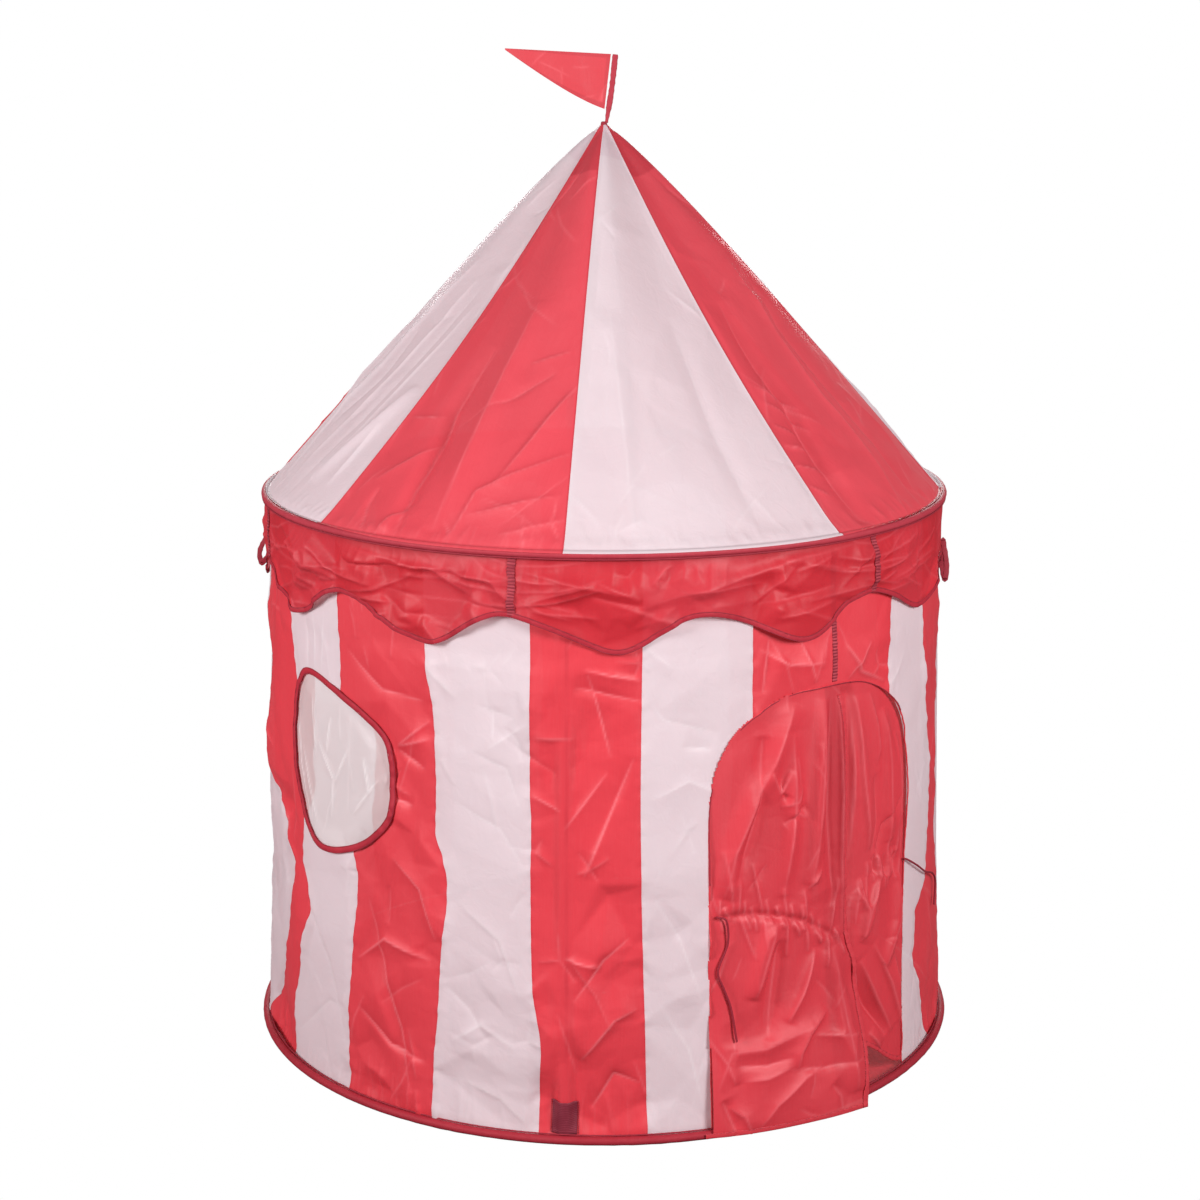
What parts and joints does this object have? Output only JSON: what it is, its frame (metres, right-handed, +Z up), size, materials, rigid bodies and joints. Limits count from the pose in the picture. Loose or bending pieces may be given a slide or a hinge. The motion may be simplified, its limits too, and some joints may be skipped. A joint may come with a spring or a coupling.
{
  "type": "child's pop-up play tent in the shape of a circus big top",
  "caption": "Striped cloth play tent with a round wall, a cone roof, a scalloped valance, an arched curtain door, an oval net window and a pennant.",
  "frame": {"origin": "on the floor, at the middle of the ground hoop", "axes": "+Z up towards the pennant, -Y towards the front, +X to the right as seen from the front"},
  "size_m": [1.0674, 1.0674, 1.4555],
  "materials": {
    "red_cloth": "thin red polyester taffeta, plain weave with a soft sheen, crinkled from folding",
    "white_cloth": "thin white polyester taffeta, tinted pink by the red cloth around it",
    "tape": "woven dark red binding tape",
    "net": "fine white net",
    "rod": "glass fibre rod"
  },
  "bodies": {
    "root": {"apex_hub": "tape", "curtain_tie_left": "tape", "curtain_tie_right": "tape", "door_curtain_left": "red_cloth", "door_curtain_right": "red_cloth", "eave_hoop": "tape", "eave_loop_left": "tape", "eave_loop_right": "tape", "flag_stick": "tape", "ground_hoop": "red_cloth", "ground_sheet": "red_cloth", "pennant": "red_cloth", "pole_back": "rod", "pole_front": "rod", "pole_left": "rod", "pole_pocket_back": "tape", "pole_pocket_front": "tape", "pole_pocket_left": "tape", "pole_pocket_right": "tape", "pole_right": "rod", "roof_gore_1": "white_cloth", "roof_gore_2": "red_cloth", "roof_gore_3": "white_cloth", "roof_gore_4": "red_cloth", "roof_gore_5": "white_cloth", "roof_gore_6": "red_cloth", "roof_gore_7": "white_cloth", "roof_gore_8": "red_cloth", "valance_1": "red_cloth", "valance_2": "red_cloth", "valance_3": "red_cloth", "valance_4": "red_cloth", "valance_5": "red_cloth", "valance_6": "red_cloth", "wall_stripe_01": "red_cloth", "wall_stripe_02": "white_cloth", "wall_stripe_03": "red_cloth", "wall_stripe_04": "white_cloth", "wall_stripe_05": "red_cloth", "wall_stripe_06": "white_cloth", "wall_stripe_07": "red_cloth", "wall_stripe_08": "red_cloth", "wall_stripe_09": "white_cloth", "wall_stripe_10": "red_cloth", "wall_stripe_11": "white_cloth", "wall_stripe_12": "red_cloth", "wall_stripe_13": "white_cloth", "wall_stripe_14": "red_cloth", "wall_stripe_15": "white_cloth", "wall_stripe_16": "red_cloth", "wall_stripe_17": "white_cloth", "wall_stripe_18": "red_cloth", "wall_stripe_19": "white_cloth", "wall_stripe_20": "red_cloth", "wall_stripe_21": "white_cloth", "window_binding": "tape", "window_net": "net"}
  },
  "joints": []
}
